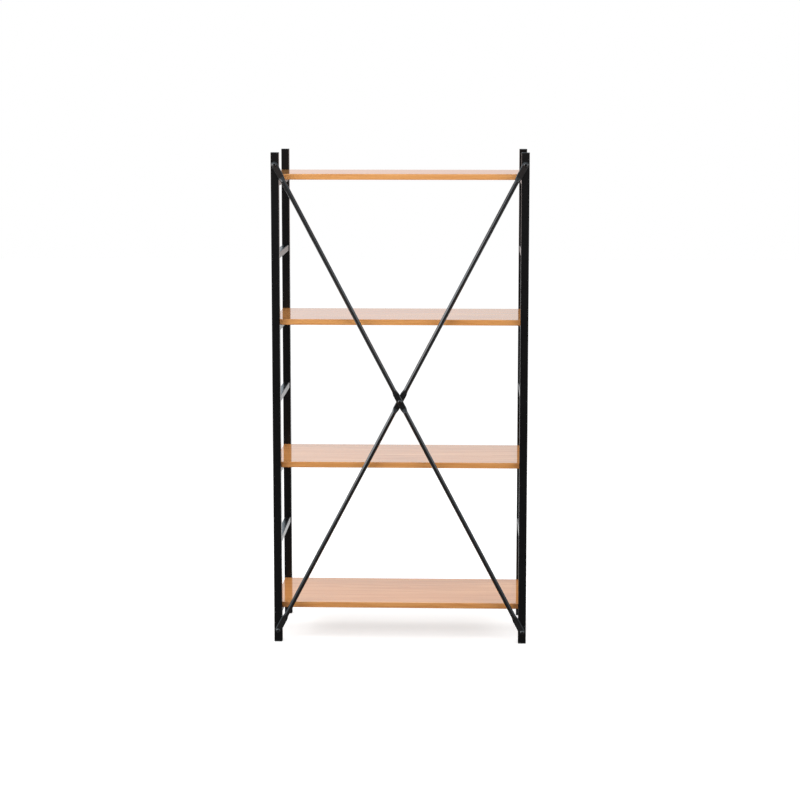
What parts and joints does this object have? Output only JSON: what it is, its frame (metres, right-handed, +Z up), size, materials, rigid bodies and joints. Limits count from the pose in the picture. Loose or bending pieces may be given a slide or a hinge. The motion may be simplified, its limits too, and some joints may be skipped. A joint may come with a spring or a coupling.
{
  "type": "shelving unit",
  "caption": "Free-standing shelving unit: welded ladder side frames of black square tube carry glossy wood boards on their rungs, stiffened by a crossed tube brace in front.",
  "frame": {"origin": "on the floor, under the middle of the unit's box, with the brace's bolt heads counted in its depth", "axes": "+Z up, +X to the right seen from the front, where the brace is, and +Y to the back"},
  "size_m": [0.8, 0.4127, 1.55],
  "materials": {
    "frame_paint": "semi-gloss black stove enamel",
    "board_wood": "high-gloss clear lacquer over orange-brown wood",
    "bolt_steel": "black oxide",
    "zinc_steel": "zinc plated",
    "plug_plastic": "moulded, fine grain"
  },
  "bodies": {
    "root": {"front_left_post": "frame_paint", "rear_left_post": "frame_paint", "left_rung_1": "frame_paint", "left_rung_2": "frame_paint", "left_rung_3": "frame_paint", "left_rung_4": "frame_paint", "left_rung_5": "frame_paint", "left_rung_6": "frame_paint", "left_rung_7": "frame_paint", "front_right_post": "frame_paint", "rear_right_post": "frame_paint", "right_rung_1": "frame_paint", "right_rung_2": "frame_paint", "right_rung_3": "frame_paint", "right_rung_4": "frame_paint", "right_rung_5": "frame_paint", "right_rung_6": "frame_paint", "right_rung_7": "frame_paint", "brace_bar_front": "frame_paint", "brace_bar_rear": "frame_paint", "bottom_shelf_board": "board_wood", "lower_shelf_board": "board_wood", "upper_shelf_board": "board_wood", "top_shelf_board": "board_wood", "brace_centre_bolt": "bolt_steel", "brace_corner_bolts": "bolt_steel", "brace_centre_washer": "zinc_steel", "brace_centre_lock_nut": "zinc_steel", "brace_corner_inserts": "zinc_steel", "bottom_shelf_screws": "zinc_steel", "lower_shelf_screws": "zinc_steel", "upper_shelf_screws": "zinc_steel", "top_shelf_screws": "zinc_steel", "front_left_top_cap": "plug_plastic", "front_left_foot_plug": "plug_plastic", "front_right_top_cap": "plug_plastic", "front_right_foot_plug": "plug_plastic", "rear_left_top_cap": "plug_plastic", "rear_left_foot_plug": "plug_plastic", "rear_right_top_cap": "plug_plastic", "rear_right_foot_plug": "plug_plastic"}
  },
  "joints": []
}
